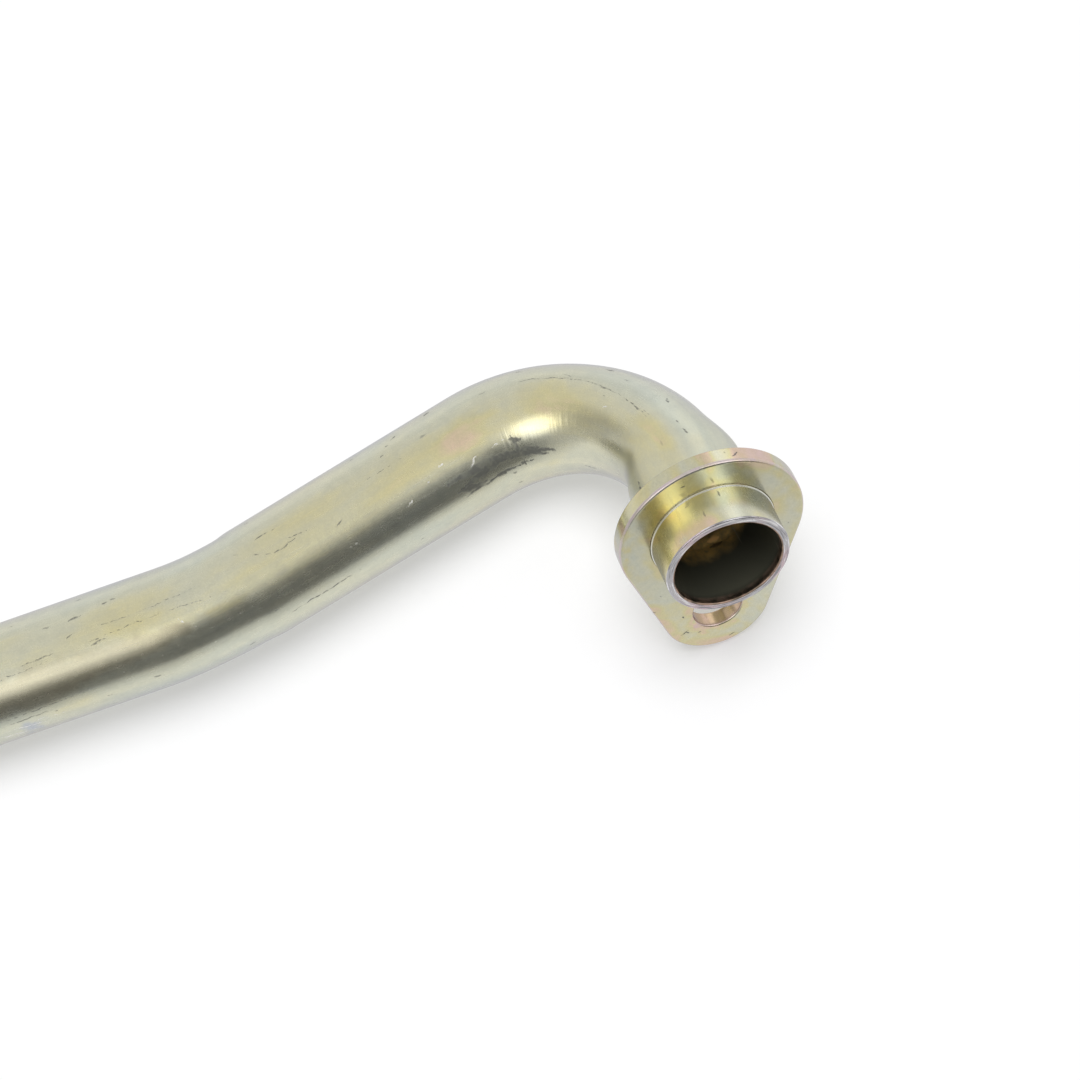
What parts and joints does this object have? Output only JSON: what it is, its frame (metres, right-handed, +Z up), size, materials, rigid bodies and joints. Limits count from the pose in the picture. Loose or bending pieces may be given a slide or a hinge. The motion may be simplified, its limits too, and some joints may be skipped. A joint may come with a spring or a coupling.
{
  "type": "flanged pipe",
  "caption": "Bent plated-steel pipe with a teardrop one-bolt flange and a short spigot at one end, and a plain open far end.",
  "frame": {"origin": "middle of the footprint on the table the pipe lies on, at table height", "axes": "+Z up from the table, +X level along the long straight towards the flange end, -Y the side that the spigot points to"},
  "size_m": [0.204, 0.0698, 0.0532],
  "materials": {
    "pipe": "bright zinc plate with a pale yellow iridescent passivation, fine lengthwise scratches and dark scuffs",
    "flange": "smooth bright zinc plate with a yellow, pink and green iridescent passivation",
    "braze": "plated over, slightly rippled"
  },
  "bodies": {
    "root": {"pipe": "pipe", "flange": "flange", "braze_fillet": "braze"}
  },
  "joints": []
}
